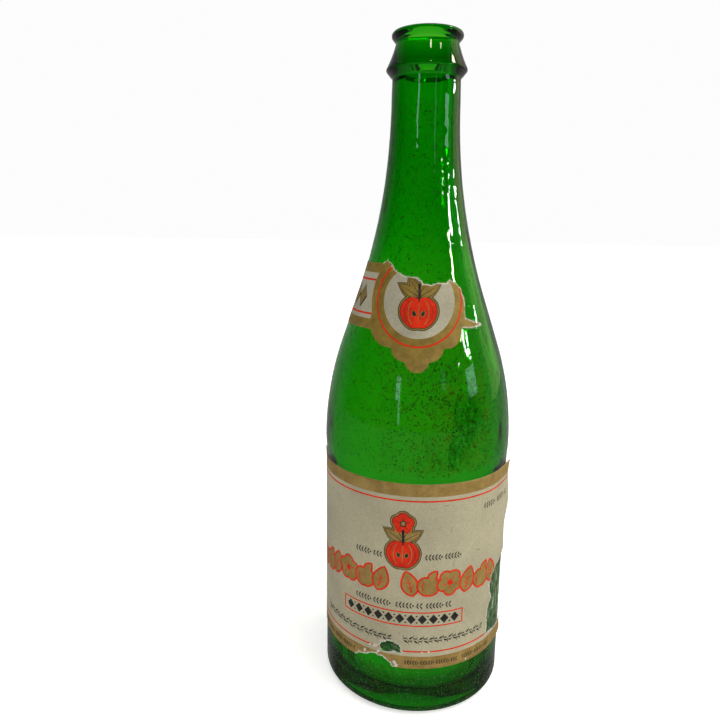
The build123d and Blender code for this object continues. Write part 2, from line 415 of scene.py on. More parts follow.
def within(loop, points):
    """Which points lie in the closed outline."""
    p = np.asarray(loop, float)
    lo, hi = p.min(0), p.max(0)
    near = np.all((points >= lo) & (points <= hi), axis=1)
    found = np.zeros(len(points), bool)
    idx = np.where(near)[0]
    if len(idx) == 0:
        return found
    q = points[idx]
    x0, y0 = p[:, 0], p[:, 1]
    x1, y1 = np.roll(x0, -1), np.roll(y0, -1)
    odd = np.zeros(len(q), bool)
    for a0, b0, a1, b1 in zip(x0, y0, x1, y1):
        if b0 == b1:
            continue
        crosses = (b0 > q[:, 1]) != (b1 > q[:, 1])
        odd ^= crosses & (q[:, 0] < a0 + (q[:, 1] - b0) * (a1 - a0) / (b1 - b0))
    found[idx] = odd
    return found


def distance_to(path, points):
    """Distance of each point from an open path."""
    p = np.asarray(path, float)
    best = np.full(len(points), 1e9)
    for a, b in zip(p, p[1:]):
        ab = b - a
        t = np.clip(((points - a) @ ab) / max(ab @ ab, 1e-12), 0, 1)
        best = np.minimum(best, np.linalg.norm(points - (a + t[:, None] * ab), axis=1))
    return best


def printed_sheet(name, outline, holes, prints, wrap, materials, spacing, torn=(), core=None, core_width=0.8,
                  thickness=PAPER, back=None, seed=1):
    """A sheet cut to outline less holes, whose printed shapes are faces of their own.

    prints is a list of (loops, material); the last one on a spot shows, and a spot counts as
    in a shape when it is in an odd number of its loops. torn lists torn edges, beside which the
    bare core of the paper shows. wrap turns (x, y, height above the glass) into a point.
    """
    rng = random.Random(seed)
    loops = [dense(outline, spacing)] + [dense(h, spacing) for h in holes]
    for shape, _ in prints:
        loops += [dense(loop, spacing) for loop in shape]
    points, edges = [], []
    for loop in loops:
        first = len(points)
        points += loop
        edges += [(first + i, first + (i + 1) % len(loop)) for i in range(len(loop))]
    fixed = np.array(points)
    lo, hi = np.array(outline).min(0), np.array(outline).max(0)
    rows = int((hi[1] - lo[1]) / spacing) + 1
    cols = int((hi[0] - lo[0]) / spacing) + 1
    lattice = []
    for r in range(rows + 1):
        for c in range(cols + 1):
            x = lo[0] + (c + 0.5 * (r % 2) + rng.uniform(-0.2, 0.2)) * spacing
            y = lo[1] + (r + rng.uniform(-0.2, 0.2)) * spacing
            lattice.append((x, y))
    for path in torn:
        for a in dense(list(path) + list(path)[::-1], 0.5):
            lattice.append((a[0] + rng.uniform(-core_width, core_width) * 1.6,
                            a[1] + rng.uniform(-core_width, core_width) * 1.6))
    lattice = np.array(lattice)
    lattice = lattice[within(outline, lattice)]
    cells = {}
    for q in fixed:
        cells.setdefault((int(q[0] // 1), int(q[1] // 1)), []).append(q)
    free = []
    for q in lattice:
        cx, cy = int(q[0] // 1), int(q[1] // 1)
        near = [p for i in (-1, 0, 1) for j in (-1, 0, 1) for p in cells.get((cx + i, cy + j), ())]
        if all((p[0] - q[0]) ** 2 + (p[1] - q[1]) ** 2 > 0.02 for p in near):
            free.append(tuple(q))
    result = delaunay_2d_cdt([Vector(p) for p in points + free], edges, [], 0, 1e-5)
    verts2 = np.array([tuple(v) for v in result[0]])
    tris = np.array([f for f in result[2] if len(f) == 3])
    centre = verts2[tris].mean(1)
    keep = within(outline, centre)
    for h in holes:
        keep &= ~within(h, centre)
    tris, centre = tris[keep], centre[keep]
    a, b, c = (verts2[tris[:, i]] for i in range(3))
    area = (b[:, 0] - a[:, 0]) * (c[:, 1] - a[:, 1]) - (b[:, 1] - a[:, 1]) * (c[:, 0] - a[:, 0])
    tris[area < 0] = tris[area < 0][:, ::-1]
    big = np.abs(area) > 1e-7
    tris, centre = tris[big], centre[big]
    index = np.zeros(len(tris), int)
    for shape, material in prints:
        odd = np.zeros(len(tris), bool)
        for loop in shape:
            odd ^= within(loop, centre)
        index[odd] = material
    if core is not None:
        for path in torn:
            d = distance_to(path, centre)
            rough = np.array([noise.noise(Vector((x * 1.3, y * 1.3, seed))) for x, y in centre])
            index[d < core_width * (0.75 + 1.1 * rough)] = core
    used = np.unique(tris)
    renumber = np.zeros(len(verts2), int)
    renumber[used] = np.arange(len(used))
    flat = verts2[used]
    tris = renumber[tris]
    count = len(used)
    top = [wrap(x, y, thickness) for x, y in flat]
    low = [wrap(x, y, 0.0) for x, y in flat]
    sides = {}
    for i, t in enumerate(tris):
        for p, q in ((t[0], t[1]), (t[1], t[2]), (t[2], t[0])):
            if (q, p) in sides:
                del sides[(q, p)]
            else:
                sides[(p, q)] = i
    faces = [tuple(int(v) for v in t) for t in tris]
    faces += [tuple(int(v) + count for v in t[::-1]) for t in tris]
    faces += [(int(q), int(p), int(p) + count, int(q) + count) for p, q in sides]
    under = 0 if back is None else back
    rim = [core if core is not None else int(index[i]) for i in sides.values()]
    material_index = [int(i) for i in index] + [under] * len(tris) + rim
    return mesh_object(name, top + low, faces, material_index, materials=materials)


# ---------------------------------------------------------------- materials
def linear(r, g, b):
    """Screen colour from 0 to 255 as linear light."""
    light = [v / 12.92 if v <= 0.04045 else ((v + 0.055) / 1.055) ** 2.4 for v in (r / 255, g / 255, b / 255)]
    return (*light, 1.0)


class Nodes:
    """Short forms for building one material."""

    def __init__(self, name):
        self.material = bpy.data.materials.new(name)
        self.material.use_nodes = True
        self.tree = self.material.node_tree
        self.shader = self.tree.nodes["Principled BSDF"]
        self.out = self.tree.nodes["Material Output"]
        self.coords = self.add("ShaderNodeTexCoord").outputs["Object"]

    def add(self, kind, **values):
        node = self.tree.nodes.new(kind)
        for key, value in values.items():
            if hasattr(node, key):
                setattr(node, key, value)
            else:
                node.inputs[key].default_value = value
        return node

    def link(self, source, target):
        self.tree.links.new(source, target)

    def set(self, **values):
        for key, value in values.items():
            self.shader.inputs[key.replace("_", " ")].default_value = value

    def noise(self, scale, detail=4.0, rough=0.55, stretch=None):
        node = self.add("ShaderNodeTexNoise", Scale=scale, Detail=detail, Roughness=rough)
        source = self.coords
        if stretch:
            mapping = self.add("ShaderNodeMapping", Scale=stretch)
            self.link(self.coords, mapping.inputs["Vector"])
            source = mapping.outputs["Vector"]
        self.link(source, node.inputs["Vector"])
        return node.outputs["Fac"]

    def ramp(self, source, stops):
        node = self.add("ShaderNodeValToRGB")
        elements = node.color_ramp.elements
        while len(elements) < len(stops):
            elements.new(0.5)
        for element, (position, colour) in zip(elements, stops):
            element.position = position
            element.color = colour if len(colour) == 4 else (*colour, 1)
        self.link(source, node.inputs["Fac"])
        return node.outputs["Color"]

    def mix(self, factor, a, b, blend="MIX"):
        node = self.add("ShaderNodeMix", data_type="RGBA", blend_type=blend)
        for socket, value in ((node.inputs["Factor"], factor), (node.inputs[6], a), (node.inputs[7], b)):
            if isinstance(value, bpy.types.NodeSocket):
                self.link(value, socket)
            else:
                socket.default_value = value
        return node.outputs[2]

    def bump(self, source, strength, distance):
        node = self.add("ShaderNodeBump", Strength=strength, Distance=distance)
        self.link(source, node.inputs["Height"])
        self.link(node.outputs["Normal"], self.shader.inputs["Normal"])


def mottled(name, dark, light, rough=0.8, metallic=0.0, grain=900.0, cloud=60.0, stretch=None, bump=0.15):
    """A printed or fibrous surface: two tones in clouds, with a fine grain and a faint tooth."""
    n = Nodes(name)
    clouds = n.noise(cloud, 5.0, 0.6)
    fine = n.noise(grain, 3.0, 0.6, stretch)
    base = n.ramp(clouds, [(0.36, linear(*dark)), (0.64, linear(*light))])
    grainy = n.ramp(fine, [(0.3, (0.80, 0.80, 0.80, 1)), (0.6, (1, 1, 1, 1))])
    n.link(n.mix(1.0, base, grainy, "MULTIPLY"), n.shader.inputs["Base Color"])
    n.set(Roughness=rough, Metallic=metallic)
    if bump:
        n.bump(fine, bump, 0.0002)
    return n.material


def glass_material():
    """Emerald glass: clear surfaces, and colour that deepens with thickness."""
    n = Nodes("emerald_glass")
    n.set(Base_Color=(1, 1, 1, 1), Roughness=0.0, IOR=1.52, Transmission_Weight=1.0)
    absorb = n.add("ShaderNodeVolumeAbsorption", Color=(0.34, 0.866, 0.005, 1), Density=900.0)
    n.link(absorb.outputs["Volume"], n.out.inputs["Volume"])
    return n.material


# ---------------------------------------------------------------- body label
LABEL_RADIUS = PANEL_RADIUS + GLUE


def lift(azimuth, z):
    """How far the body label stands off the glass, in mm: its right edge curls, and its left top corner a little."""
    right = max(0.0, (azimuth - 72.0) / 16.0) ** 1.7 * (0.45 + 0.9 * max(0.0, (z - 66.0) / 43.0))
    right *= 1.0 + 0.45 * math.sin(z * 0.22 + 0.7) * math.exp(-((z - 85) / 30) ** 2)
    top = max(0.0, (z - 104.0) / 5.1) ** 1.5
    left = max(0.0, (-azimuth - 74.0) / 14.0) ** 1.5 * (0.35 + 0.9 * top)
    low = max(0.0, (30.0 - z) / 6.1) ** 1.5 * 0.25 * max(0.0, (azimuth - 60.0) / 28.0)
    return 1.25 * right + 0.9 * left + low


def body_wrap(x, z, height):
    """(distance round the glass from the label's middle, height up the bottle) to a point."""
    azimuth = math.degrees(x / LABEL_RADIUS)
    wrinkle = 0.018 * noise.noise(Vector((x * 0.09, z * 0.16, 2.0))) + 0.018
    return around(azimuth, LABEL_RADIUS + height + lift(azimuth, z) + wrinkle, z)


def glue_wrap(x, z, height):
    azimuth = math.degrees(x / LABEL_RADIUS)
    return around(azimuth, PANEL_RADIUS + 0.004 + height, z)


HALF = math.radians(LABEL_HALF_ANGLE) * LABEL_RADIUS

EDGE_TEAR = [
    (HALF + 0.3, 65.4), (58.0, 64.4), (50.6, 62.6), (46.4, 59.8), (44.5, 56.0), (45.3, 51.5), (47.4, 48.6),
    (44.5, 44.5), (43.4, 40.0), (43.9, 36.0), (43.2, 31.9), (50.0, 31.0), (HALF + 0.3, 30.4),
]
LOWER_TEAR = [
    (-21.9, LABEL_BOTTOM), (-20.6, 24.6), (-17.4, 26.1), (-13.2, 27.9), (-10.9, 28.4), (-7.7, 28.0), (-5.2, 25.9),
    (-3.7, 24.4), (-3.0, LABEL_BOTTOM),
]
HOLE = [
    (-9.0, 33.7), (-7.6, 34.9), (-6.2, 36.0), (-3.3, 36.0), (-1.6, 35.2), (0.0, 33.8), (0.5, 31.1), (-2.6, 31.9),
    (-6.0, 30.6), (-8.6, 31.4),
]
HOLE_LOOP = HOLE + [HOLE[0]]


def body_outline():
    tear = ragged(EDGE_TEAR, 0.5, 0.7, 5)
    notch = ragged(LOWER_TEAR, 0.45, 0.6, 8)
    right_low = ragged([(HALF - 0.4, 30.4), (HALF - 0.9, 27.5), (HALF - 0.5, LABEL_BOTTOM)], 0.3, 0.8, 3)
    right_high = ragged([(HALF, LABEL_TOP), (HALF - 0.5, 98.0), (HALF + 0.1, 86.0), (HALF - 0.7, 74.0),
                         (HALF - 0.2, 65.4)], 0.35, 0.9, 4)
    outline = [(-HALF, LABEL_TOP), (-HALF, LABEL_BOTTOM)]
    outline += notch
    outline += [(HALF - 0.5, LABEL_BOTTOM)] + right_low[::-1]
    outline += tear[::-1]
    outline += right_high[::-1]
    return outline, tear, notch, right_high


def emblem(cx, cy, width, tall=True):
    """A halved apple on a gold ground, with leaves and a blossom above it. Returns prints."""
    body = apple(width)
    bloom_y = width * 1.0
    stalk = stroke([(0.0, width * 0.30), (0.25, width * 0.45), (0.1, width * 0.6), (0.0, width * 0.8)],
                   [0.5, 0.9, 1.0, 1.2])
    placed = [(0.62, 0.26, -58, 0.3, 0.44), (0.62, 0.26, 58, -0.3, 0.44), (0.50, 0.22, -30, 0.3, 0.52),
              (0.50, 0.22, 30, -0.3, 0.52)]

    def leaves(border):
        loops = []
        for length, wide, angle, x, y in placed:
            loop = leaf(width * length + 2.3 * border, width * wide + 2 * border, 19)
            loops.append(turned([(px, py - 1.1 * border) for px, py in loop], angle, x, width * y))
        return loops

    petals = []
    for k in range(5 if tall else 0):
        a = math.radians(72 * k)
        petals.append(circle(width * 0.17 * math.sin(a), bloom_y + width * 0.17 * math.cos(a), width * 0.165, 28))

    def place(loop):
        return [(cx + x, cy + y) for x, y in loop]

    shapes = []
    for border, material in ((1.15, 4), (0.80, 1), (0.30, 4)):
        loops = [grown(item, border) for item in [body] + petals] + leaves(border)
        shapes += [([place(item)], material) for item in loops]
    shapes += [([place(item)], 1) for item in leaves(0.0)]
    shapes += [([place(item)], 2) for item in petals]
    if tall:
        shapes.append(([circle(cx, cy + bloom_y, width * 0.10, 20)], 4))
        shapes.append(([circle(cx, cy + bloom_y, width * 0.065, 20)], 1))
        for k in range(5):
            angle = 72 * k
            notch = stroke([(0, width * 0.10), (0, width * 0.24)], [0.3, 0.18])
            shapes.append(([turned(notch, angle, cx, cy + bloom_y)], 4))
    shapes.append(([place(body)], 2))
    shapes.append(([place(stalk)], 4))
    t = np.linspace(-0.95, 0.95, 17)
    for side in (-1, 1):
        for reach, ink_index, pen in ((0.38, 4, 0.20), (0.27, 1, 0.34)):
            rib = [(side * width * reach * math.cos(a) + side * 0.2, width * 0.40 * math.sin(a)) for a in t]
            shapes.append(([place(stroke(rib, pen * (0.4 + 0.6 * np.cos(t))))], ink_index))
    core_line = [(0.1 * math.sin(3 * a), a * width * 0.30) for a in np.linspace(-1, 0.9, 9)]
    shapes.append(([place(stroke(core_line, [0.15, .25, .35, .4, .4, .35, .3, .25, .15]))], 1))
    for side in (-1, 1):
        seed_loop = turned(leaf(width * 0.17, width * 0.095, 9), side * -20, side * width * 0.095, -width * 0.11)
        shapes.append(([place(grown(seed_loop, 0.25))], 1))
        shapes.append(([place(seed_loop)], 4))
    for angle, start, length in ((-58, 0.44, 0.50), (58, 0.44, 0.50), (-30, 0.52, 0.40), (30, 0.52, 0.40)):
        vein = turned(stroke([(0, 0.4), (0, width * length)], [0.32, 0.14]), angle, 0.3 * (1 if angle < 0 else -1),
                      width * start)
        shapes.append(([place(vein)], 4))
    return shapes


def garland_piece(kind, cx, cy, tilt):
    """One gold ornament with a red edge, for the arc across the label."""
    high = 5.5
    if kind == "leaf":
        base = turned([(0.0, -high)], tilt)[0]
        loops = [turned(leaf(2 * high, 1.16 * high), tilt, cx + base[0], cy + base[1])]
        marks = [stroke([(0, 0.24 * high), (0, 1.6 * high)], [0.6, 0.25])]
        marks += [turned(stroke([(0, 0), (0, 0.42 * high)], [0.4, 0.2]), side * 48, 0, at * high)
                  for side in (-1, 1) for at in (0.55, 0.95)]
        marks = [turned(m, tilt, cx + base[0], cy + base[1]) for m in marks]
    elif kind == "fruit":
        loops = [turned(apple(1.62 * high), tilt, cx, cy - 0.24 * high)]
        loops.append(turned(leaf(0.86 * high, 0.5 * high), -38 + tilt, cx + 0.05 * high, cy + 0.28 * high))
        marks = [turned(stroke([(-0.42 * high, -0.62 * high), (-0.52 * high, -0.2 * high), (-0.40 * high, 0.14 * high)],
                               [0.3, 0.7, 0.3]), tilt, cx, cy)]
    else:
        loops = [turned(circle(0, 0.56 * high, 0.44 * high, 26), 72 * k + tilt, cx, cy) for k in range(5)]
        marks = [circle(cx, cy, 0.24 * high, 24)]
        rib = stroke([(0, 0.30 * high), (0, 0.62 * high)], [0.5, 0.25])
        marks += [turned(rib, 72 * k + tilt, cx, cy) for k in range(5)]
    shapes = [([grown(loop, 0.85)], 2) for loop in loops]
    shapes += [([loop], 1) for loop in loops]
    shapes += [([mark], 2) for mark in marks]
    return shapes


def laurel(x0, x1, y, height):
    """A running sprig that fills the place of a line of print: a thin stem with paired leaves."""
    shapes = []
    count = max(2, round((x1 - x0) / (height * 0.42)))
    for i in range(count + 1):
        x = x0 + (x1 - x0) * i / count
        if i % 6 == 5:
            shapes.append(([circle(x, y, height * 0.13, 12)], 4))
            continue
        for side in (-1, 1):
            size = height * (0.56 if i % 2 else 0.48)
            shapes.append(([turned(leaf(size, height * 0.19, 9), -90 + side * 54, x, y + side * height * 0.02)], 4))
    for i in range(0, count, 6):
        a = x0 + (x1 - x0) * i / count
        b = x0 + (x1 - x0) * min(i + 4, count) / count
        shapes.append(([box(a - 0.1, y - 0.07, b + 0.1, y + 0.07)], 4))
    return shapes


def lozenge(x, y, half_width, half_height):
    return [(x, y - half_height), (x + half_width, y), (x, y + half_height), (x - half_width, y)]


def bold_band(x0, x1, y, height):
    """A row of heavy solid lozenges with a pair of dots between each two."""
    shapes = []
    count = 11
    half = (x1 - x0) / count / 2
    for i in range(count):
        x = x0 + (x1 - x0) * (i + 0.5) / count
        shapes.append(([lozenge(x, y, half * 0.84, height / 2)], 4))
        if i:
            for side in (-1, 1):
                shapes.append(([circle(x - half, y + side * height * 0.33, height * 0.09, 12)], 4))
    return shapes


def scroll(x0, x1, y, height, waves, seed):
    """A fine pen-drawn vine: a wavy stem, with a curled tendril and a leaf at each bend."""
    rng = random.Random(seed)
    shapes = []
    length = (x1 - x0) / waves
    fine = np.linspace(0, 1, 13)
    for k in range(2 * waves):
        side = 1 if k % 2 == 0 else -1
        start = x0 + length * k / 2
        stem = [(start + length / 2 * u, y + side * height * 0.17 * math.sin(math.pi * u)) for u in fine]
        shapes.append(([stroke(stem, 0.16 + 0.14 * np.sin(math.pi * fine))], 4))
        spin = rng.uniform(0.9, 1.15)
        curl = []
        for u in fine:
            turn = side * (2.2 + 4.6 * u * spin)
            reach = height * 0.25 * (1 - 0.72 * u)
            curl.append((start + length * 0.30 + reach * math.cos(turn),
                         y + side * height * 0.24 + reach * math.sin(turn)))
        shapes.append(([stroke(curl, 0.13 + 0.2 * np.sin(math.pi * fine))], 4))
        tilt = -90 - side * rng.uniform(18, 40)
        shapes.append(([turned(leaf(height * 0.46, height * 0.17, 9), tilt, start + length * 0.12,
                               y - side * height * 0.05)], 4))
    return shapes


def body_prints():
    """Everything printed on the body label. Materials: 0 paper, 1 gold, 2 red, 4 dark ink, 5 stain, 6 pale."""
    wide = HALF + 2
    prints = [
        ([box(-wide, 103.6, wide, LABEL_TOP + 1)], 1),
        ([box(-wide, 101.25, wide, 101.95)], 2),
        ([box(-wide, 31.9, wide, 32.6)], 2),
        ([box(-wide, LABEL_BOTTOM - 1, wide, 29.9)], 1),
    ]
    prints += emblem(0.0, 77.7, 13.8)
    row = [("leaf", -49.3, 61.4, 14), ("fruit", -41.8, 62.6, 0), ("leaf", -34.6, 63.8, -16), ("flower", -26.2, 64.6, 0),
           ("fruit", -17.0, 65.0, 0), ("leaf", -9.2, 65.1, -16),
           ("leaf", 3.2, 64.4, 16), ("fruit", 11.4, 64.6, 0), ("flower", 20.8, 64.4, 36), ("leaf", 29.4, 64.2, -14),
           ("fruit", 37.4, 63.8, 0), ("leaf", 44.6, 63.2, 14)]
    for kind, x, z, tilt in row:
        prints += garland_piece(kind, x, z, tilt)
    for sprig in ((-21.6, -9.8, 76.2, 3.4), (9.6, 25.2, 76.6, 3.4), (-21.4, -5.0, 54.2, 3.4), (-2.4, 8.0, 54.2, 3.4),
                  (10.6, 20.6, 54.2, 3.4)):
        prints += laurel(*sprig)
    x0, y0, x1, y1 = -28.6, 44.3, 27.6, 51.2
    prints.append(([box(x0, y0, x1, y1), box(x0 + 0.6, y0 + 0.6, x1 - 0.6, y1 - 0.6)], 2))
    prints += bold_band(-27.0, 26.0, 47.75, 4.6)
    prints += scroll(-43.5, -4.0, 37.9, 5.0, 9, 4)
    prints += scroll(1.0, 40.0, 37.9, 5.0, 9, 5)
    for sprig in ((-50.0, -22.6, 26.9, 2.7), (2.0, 25.0, 26.9, 2.7), (28.5, 44.5, 26.9, 2.7), (37.4, 45.0, 95.6, 3.4),
                  (47.6, 58.0, 95.6, 3.4), (-62.0, -57.5, 97.0, 3.0)):
        prints += laurel(*sprig)
    rng = random.Random(21)
    for _ in range(90):
        x, y = rng.uniform(-60, 60), rng.uniform(33, 101)
        size = 0.07 + 0.2 * rng.random() ** 2.2
        prints.append(([turned(circle(0, 0, size, 7), 0, x, y)], 5))
    for x, y, length, angle in ((20.5, 87.5, 2.6, 80), (22.0, 71.5, 4.6, 84), (44.0, 86.5, 3.6, 66), (46.0, 83.0, 2.2, 100),
                                (-32.0, 93.0, 3.2, 118), (16.5, 99.3, 2.4, 4), (24.8, 64.0, 1.6, 90), (33.0, 76.3, 3.0, 0)):
        t = np.linspace(0, length, 7)
        mark = [(a, 0.25 * math.sin(a * 1.7)) for a in t]
        prints.append(([turned(stroke(mark, 0.10 + 0.16 * np.sin(np.linspace(0.4, 2.9, 7))), angle, x, y)], 5))
    for x, y, size, wide, seed in ((12.4, 32.2, 0.40, 1.2, 1), (9.4, 31.9, 0.3, 1.6, 2), (-11.2, 32.3, 0.85, 1.5, 3),
                                   (-13.8, 31.9, 0.45, 1.7, 4), (-2.4, 26.2, 1.05, 0.8, 5), (-1.6, 24.8, 0.7, 1.3, 6),
                                   (-9.8, 29.9, 0.5, 1.8, 7), (-16.4, 28.2, 0.6, 1.6, 8), (30.5, 25.0, 0.3, 2.0, 9)):
        blot = [(a * wide, b) for a, b in circle(0, 0, size, 15)]
        prints.append(([turned(ragged(blot + [blot[0]], size * 0.55, 0.28, seed)[:-1], 8 * seed, x, y)], 6))
    return prints


# ---------------------------------------------------------------- neck label
FLAT_RADIUS = 28.0


def slope_cosine():
    return math.cos(math.radians(SHOULDER_SLOPE))


def medal(x, v):
    """Medallion's own flat coordinates to the neck label's: (arc at FLAT_RADIUS, height)."""
    z = MEDALLION_Z + v * slope_cosine()
    return x / outer_radius(z) * FLAT_RADIUS, z


def neck_wrap(x, z, height):
    azimuth = MEDALLION_AZIMUTH + math.degrees(x / FLAT_RADIUS)
    tail = max(0.0, (azimuth - 44.0) / 14.0) ** 1.5 * 0.5
    crease = 0.02 * noise.noise(Vector((x * 0.11, z * 0.13, 9.0))) + 0.02
    corner = 0.35 * math.exp(-(((x + 17.5) / 3.0) ** 2 + ((z - 198.5) / 3.0) ** 2))
    off = GLUE + height + tail + crease + corner
    cosine = slope_cosine()
    return around(azimuth, outer_radius(z) + off * cosine, z + off * math.sin(math.radians(SHOULDER_SLOPE)))


def neck_glue_wrap(x, z, height):
    azimuth = MEDALLION_AZIMUTH + math.degrees(x / FLAT_RADIUS)
    return around(azimuth, outer_radius(z) + 0.006 + height, z)


def front_view(points):
    """Points (distance to the right seen square on, z) to the neck label's flat coordinates."""
    flat = []
    for x, z in points:
        r = outer_radius(z)
        flat.append((math.asin(max(-1, min(1, x / r))) * FLAT_RADIUS, z))
    return flat


NECK_TORN = [
    (-15.2, 196.7), (-13.1, 198.1), (-11.2, 196.0), (-10.2, 194.3), (-7.5, 192.8), (-4.3, 191.8), (-1.0, 191.8),
    (0.6, 190.6), (1.4, 189.2), (4.6, 188.7), (7.7, 189.5), (10.8, 189.4), (12.1, 190.8), (14.6, 189.2), (16.8, 187.0),
    (17.9, 183.6), (18.7, 180.0), (19.1, 175.2), (22.2, 173.6), (25.0, 172.7), (25.4, 171.5), (21.4, 171.1), (17.7, 171.5),
]
LOBE_JOINTS = [(17.4, 168.6), (10.6, 164.0), (4.9, 158.6), (-4.9, 158.6), (-10.7, 163.8), (-19.6, 170.0)]
LOBE_BULGE = [0.24, 0.20, 0.42, 0.20, 0.20]


def bulged(start, end, bulge, count=14):
    """Arc from start to end that bows out by bulge times its length."""
    p, q = np.array(start), np.array(end)
    chord = q - p
    length = np.linalg.norm(chord)
    sagitta = bulge * length
    radius = (length ** 2 / 4 + sagitta ** 2) / (2 * sagitta)
    normal = np.array([chord[1], -chord[0]]) / length * -1
    centre = (p + q) / 2 + normal * (sagitta - radius)
    start_angle = math.atan2(*(p - centre)[::-1])
    sweep = math.atan2(*(q - centre)[::-1]) - start_angle
    sweep = (sweep + math.pi) % (2 * math.pi) - math.pi
    return [tuple(centre + radius * np.array([math.cos(start_angle + sweep * t), math.sin(start_angle + sweep * t)]))
            for t in np.linspace(0, 1, count)]


def neck_outline():
    lobes = []
    for start, end, bulge in zip(LOBE_JOINTS, LOBE_JOINTS[1:], LOBE_BULGE):
        lobes += bulged(start, end, bulge)[:-1]
    lobes.append(LOBE_JOINTS[-1])
    torn = ragged(front_view(NECK_TORN), 0.35, 0.55, 12)
    free_end = math.radians(BAND_START - MEDALLION_AZIMUTH) * FLAT_RADIUS
    end_tear = ragged([(free_end, BAND_BOTTOM), (free_end + 2.2, 178.0), (free_end + 0.6, 184.0), (free_end + 3.0, 190.0),
                       (free_end + 1.0, BAND_TOP)], 0.8, 0.8, 2)
    top_edge = ragged([(free_end + 1.0, BAND_TOP), (-60.0, BAND_TOP + 0.1), (-36.0, BAND_TOP - 0.2), (-30.0, BAND_TOP + 0.1),
                       front_view([(-15.2, 196.7)])[0]], 0.12, 1.2, 6)
    outline = end_tear + top_edge[1:-1] + torn + front_view(lobes) + [(free_end, BAND_BOTTOM)]
    return outline[:-1], torn, end_tear


def neck_prints():
    """Everything printed on the neck label. Materials as on the body label, and 3 for its white."""
    left = math.radians(BAND_START - MEDALLION_AZIMUTH) * FLAT_RADIUS - 4
    prints = [
        ([box(left, 174.0, -20, 192.6)], 3),
        ([box(left, 189.3, -20, 190.1)], 2),
        ([box(left, 175.6, -20, 176.4)], 2),
    ]

    def medallion(loops):
        return [[medal(x, v) for x, v in loop] for loop in loops]

    for k in range(9):
        x = -29.6 - 6.9 * k
        block = lozenge(x, 182.9, 2.9, 4.2)
        prints.append(([[(a + 0.35, b - 0.45) for a, b in grown(block, 0.45)]], 4))
        prints.append(([grown(block, 0.4)], 4))
        prints.append(([block], 1))
        prints.append(([circle(x - 3.45, 182.9, 0.5, 12)], 4))
    prints.append((medallion([circle(0, 0, 21.8, 120)]), 1))
    prints.append((medallion(ring(0, 0, 18.4, 0.75, 140)), 2))
    prints.append((medallion([circle(0, 0, 15.1, 120)]), 3))
    for loops, material in emblem(0.0, -4.2, 14.8, tall=False):
        prints.append((medallion(loops), material))
    for x, v, length, angle in ((2.2, -26.8, 3.6, 112), (5.5, -23.0, 1.8, 70), (3.1, -27.6, 1.2, 60)):
        t = np.linspace(0, length, 6)
        mark = stroke([(a, 0.2 * math.sin(a * 2)) for a in t], 0.12 + 0.22 * np.sin(np.linspace(0.4, 2.8, 6)))
        prints.append((medallion([turned(mark, angle, x, v)]), 5))
    return prints


# ---------------------------------------------------------------- fibres, residue, dirt
def strands(name, roots, material, wrap):
    """Short curved paper fibres. roots is a list of (x, y, angle, length, width)."""
    verts, faces = [], []
    rng = random.Random(len(roots))
    for x, y, angle, length, width in roots:
        bend = rng.uniform(-50, 50)
        base = rng.uniform(0.0, 0.05)
        rise = rng.uniform(0.0, 0.28)
        first = len(verts)
        px, py, heading = x, y, angle
        steps = 5
        for s in range(steps + 1):
            t = s / steps
            nx, ny = -math.sin(math.radians(heading)), math.cos(math.radians(heading))
            half = width / 2 * (1 - 0.75 * t)
            height = base + rise * t * t
            verts.append(wrap(px + nx * half, py + ny * half, height))
            verts.append(wrap(px, py, height + width * 0.4))
            verts.append(wrap(px - nx * half, py - ny * half, height))
            px += math.cos(math.radians(heading)) * length / steps
            py += math.sin(math.radians(heading)) * length / steps
            heading += bend / steps
        for s in range(steps):
            for k in range(3):
                a = first + s * 3 + k
                b = first + s * 3 + (k + 1) % 3
                faces.append((a, b, b + 3, a + 3))
        faces.append((first + 2, first + 1, first))
        last = first + steps * 3
        faces.append((last, last + 1, last + 2))
    return mesh_object(name, verts, faces, materials=[material])


def flakes(name, places, material):
    """Many thin specks. places is a list of (azimuth, radius, z, size, lean outwards)."""
    rng = random.Random(77)
    verts, faces = [], []
    for azimuth, radius, z, size, side in places:
        count = rng.choice((4, 5, 5, 6))
        turn = rng.uniform(0, 360)
        first = len(verts)
        stretch = rng.uniform(0.6, 1.5)
        loop = []
        for k in range(count):
            a = math.radians(turn + 360 * k / count)
            reach = size * rng.uniform(0.65, 1.2) / 2
            loop.append((reach * math.cos(a) * stretch, reach * math.sin(a) / stretch))
        for level in (0.0, 0.03 * side):
            shrink = 1.0 if level == 0.0 else 0.75
            for dx, dz in loop:
                verts.append(around(azimuth + math.degrees(dx * shrink / radius), radius + level, z + dz * shrink))
        top = [first + count + k for k in range(count)]
        low = [first + k for k in range(count)]
        outward = side > 0
        faces.append(tuple(top if outward else top[::-1]))
        faces.append(tuple(low[::-1] if outward else low))
        for k in range(count):
            j = (k + 1) % count
            quad = (low[k], low[j], top[j], top[k])
            faces.append(quad if outward else quad[::-1])
    return mesh_object(name, verts, faces, smooth=False, materials=[material])


def torn_roots(path, inside_side, count, length, seed):
    """Fibre roots along a torn edge, pointing away from the paper."""
    rng = random.Random(seed)
    roots = []
    for _ in range(count):
        k = rng.randrange(len(path) - 1)
        a, b = path[k], path[k + 1]
        t = rng.random()
        x, y = a[0] + (b[0] - a[0]) * t, a[1] + (b[1] - a[1]) * t
        away = math.degrees(math.atan2(b[1] - a[1], b[0] - a[0])) + 90 * inside_side
        roots.append((x, y, away + rng.uniform(-65, 65), rng.uniform(0.3, 1.0) * length, rng.uniform(0.07, 0.16)))
    return roots


# ---------------------------------------------------------------- build: glass
glass = build_glass()
glass.data.materials.append(glass_material())
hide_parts("glass_bottle")
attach(glass, "root")

